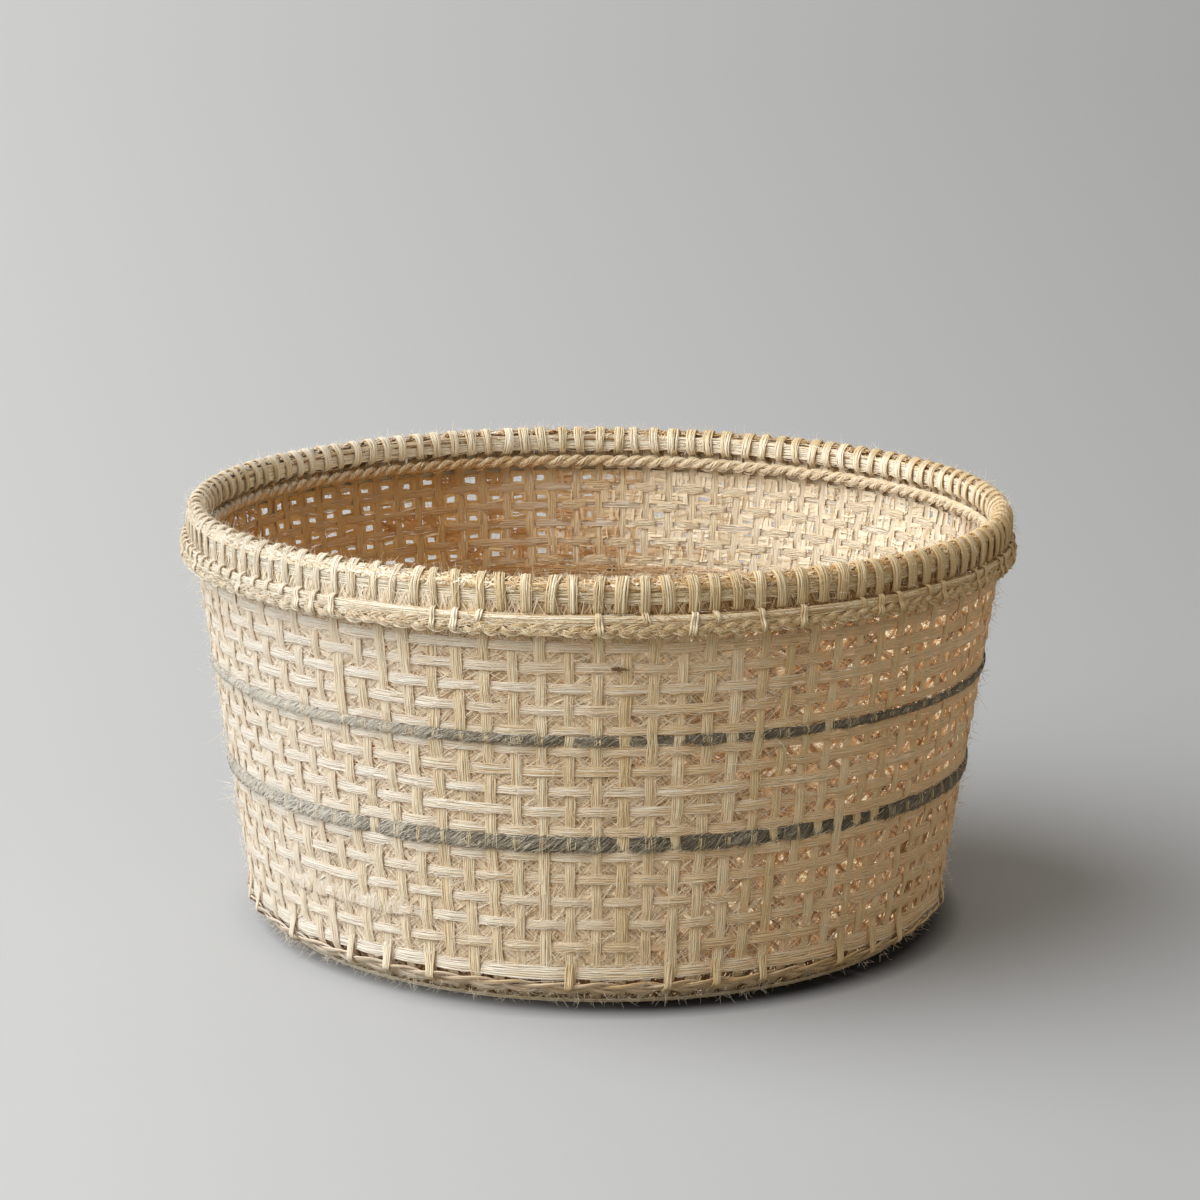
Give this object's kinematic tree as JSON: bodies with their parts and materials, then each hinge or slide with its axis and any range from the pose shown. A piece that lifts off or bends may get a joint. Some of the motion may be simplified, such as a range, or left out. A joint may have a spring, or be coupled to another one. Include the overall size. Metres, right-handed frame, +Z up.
{
  "type": "woven basket",
  "caption": "Round tapered open basket in plain-woven plant fibre, with two grey bands, a lashed hoop rim and a flat woven base.",
  "frame": {"origin": "middle of the flat underside, at the height of the surface it stands on", "axes": "+Z up along the basket's axis, +Y away from the picture's camera, +X to its right"},
  "size_m": [0.3026, 0.3026, 0.1546],
  "materials": {
    "weaver_straw": "matt pale straw fibre with fine lengthwise strands and loose hairs",
    "stake_straw": "satin straw fibre bundles with fine lengthwise strands",
    "rim_straw": "satin pale straw fibre, lashed and braided",
    "grey_yarn": "matt twisted warm grey yarn"
  },
  "bodies": {
    "root": {"base_mat": "stake_straw", "foot_braid": "rim_straw", "grey_band_narrow": "grey_yarn", "grey_band_wide": "grey_yarn", "inner_rope": "rim_straw", "rim_braid": "rim_straw", "rim_cord": "rim_straw", "rim_core": "rim_straw", "rim_inner_hoop": "rim_straw", "rim_lashing": "rim_straw", "rim_outer_hoop": "rim_straw", "side_stakes_1": "stake_straw", "side_stakes_2": "stake_straw", "side_stakes_3": "stake_straw", "side_stakes_4": "stake_straw", "side_stakes_5": "stake_straw", "side_stakes_6": "stake_straw", "side_stakes_7": "stake_straw", "side_stakes_8": "stake_straw", "weaver_01": "weaver_straw", "weaver_02": "weaver_straw", "weaver_03": "weaver_straw", "weaver_04": "weaver_straw", "weaver_05": "weaver_straw", "weaver_06": "weaver_straw", "weaver_07": "weaver_straw", "weaver_08": "weaver_straw", "weaver_09": "weaver_straw", "weaver_10": "weaver_straw", "weaver_11": "weaver_straw", "weaver_12": "weaver_straw", "weaver_13": "weaver_straw", "weaver_14": "weaver_straw", "weaver_15": "weaver_straw", "weaver_16": "weaver_straw"}
  },
  "joints": []
}
